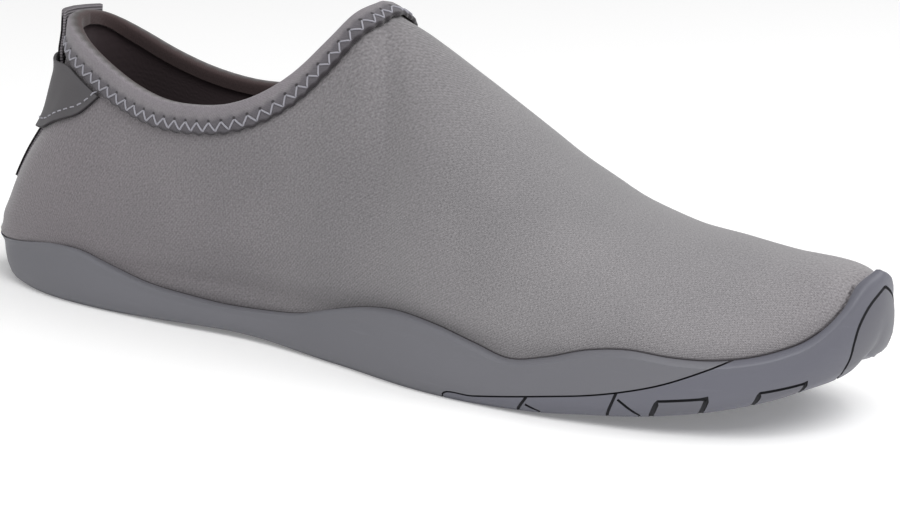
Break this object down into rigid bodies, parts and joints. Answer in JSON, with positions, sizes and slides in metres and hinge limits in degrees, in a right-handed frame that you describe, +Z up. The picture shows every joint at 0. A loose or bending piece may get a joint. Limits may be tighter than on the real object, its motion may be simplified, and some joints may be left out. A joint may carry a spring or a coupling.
{
  "type": "water shoe",
  "caption": "Slip-on water shoe for the right foot: stretch upper with a bound collar, heel patch and pull loop on a low rubber sole with a toe bumper.",
  "frame": {"origin": "centre of the bounding box on the floor plane", "axes": "+X from heel to toe, +Y to the inner side of the foot, +Z up"},
  "size_m": [0.281, 0.0964, 0.0967],
  "materials": {
    "midsole": "matt moulded foam rubber",
    "outsole": "matt moulded rubber",
    "insole": "cloth over foam",
    "upper": "knitted stretch cloth",
    "collar_binding": "folded stretch tape",
    "heel_patch": "smooth coated cloth",
    "pull_strap": "ribbed webbing"
  },
  "bodies": {
    "root": {"midsole": "midsole", "outsole": "outsole", "insole": "insole", "upper": "upper", "collar_binding": "collar_binding", "heel_patch": "heel_patch", "pull_strap": "pull_strap"}
  },
  "joints": []
}
